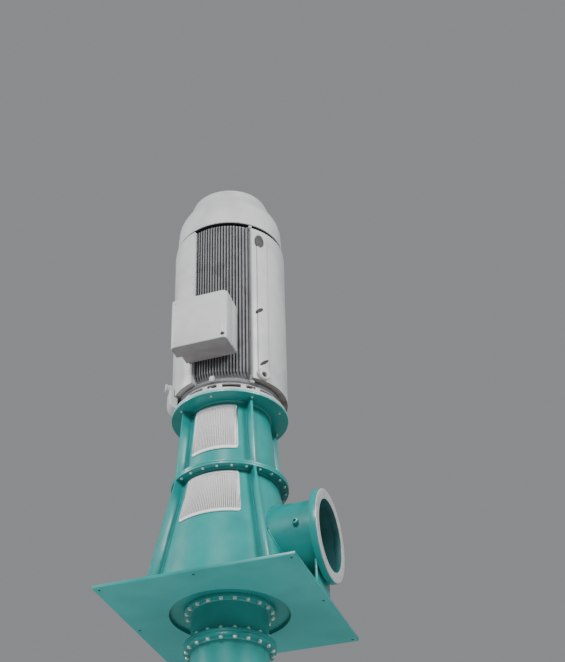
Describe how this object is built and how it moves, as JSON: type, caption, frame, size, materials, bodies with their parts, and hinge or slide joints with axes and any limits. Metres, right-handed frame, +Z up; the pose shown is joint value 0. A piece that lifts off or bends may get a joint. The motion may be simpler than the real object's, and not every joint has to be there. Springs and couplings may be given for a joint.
{
  "type": "vertical turbine pump",
  "caption": "Vertical turbine pump: tall finned motor on a ribbed conical discharge head with a side nozzle, over a flanged column and bell.",
  "frame": {"origin": "on the underside of the sole plate, on its own metal, midway between the round opening and the front edge", "axes": "+Z up along the pump's axis, which stands at y = 0.64375 m; +X the way the water leaves the nozzle; -Y the side with the terminal box"},
  "size_m": [1.6593, 1.6201, 6.76],
  "materials": {
    "teal_enamel": "glossy teal enamel",
    "motor_grey_enamel": "semi-gloss light grey enamel",
    "guard_mesh": "galvanised mesh in a flat frame",
    "machined_steel": "fine turned",
    "zinc_fastener": "bright zinc plate",
    "cast_iron": "bare cast",
    "black_plastic": "moulded"
  },
  "bodies": {
    "root": {"sole_plate": "teal_enamel", "head_base_plate": "teal_enamel", "head_lower_cone": "teal_enamel", "head_mid_flange_lower": "teal_enamel", "head_mid_flange_upper": "teal_enamel", "head_upper_cone": "teal_enamel", "head_top_flange": "teal_enamel", "lower_rib_1": "teal_enamel", "lower_rib_2": "teal_enamel", "lower_rib_3": "teal_enamel", "lower_rib_4": "teal_enamel", "upper_rib_1": "teal_enamel", "upper_rib_2": "teal_enamel", "upper_rib_3": "teal_enamel", "upper_rib_4": "teal_enamel", "lower_guard_front": "guard_mesh", "lower_guard_back": "guard_mesh", "upper_guard_front": "guard_mesh", "upper_guard_back": "guard_mesh", "discharge_elbow": "teal_enamel", "discharge_pipe": "teal_enamel", "discharge_flange": "teal_enamel", "nozzle_support": "teal_enamel", "gauge_boss": "machined_steel", "stuffing_box": "cast_iron", "line_shaft": "machined_steel", "shaft_coupling": "machined_steel", "motor_shaft": "machined_steel", "column_upper": "teal_enamel", "column_lower": "teal_enamel", "discharge_bowl": "teal_enamel", "pump_bowl": "teal_enamel", "impeller": "cast_iron", "bell_bearing": "teal_enamel", "suction_bell": "teal_enamel", "motor_base_ring": "motor_grey_enamel", "motor_frame": "motor_grey_enamel", "motor_cover_left": "motor_grey_enamel", "motor_cover_right": "motor_grey_enamel", "cable_duct": "motor_grey_enamel", "drain_box": "motor_grey_enamel", "lifting_pin": "motor_grey_enamel", "terminal_box": "motor_grey_enamel", "terminal_box_lid": "motor_grey_enamel", "fan_hood": "motor_grey_enamel", "hood_cap": "motor_grey_enamel"}
  },
  "joints": []
}
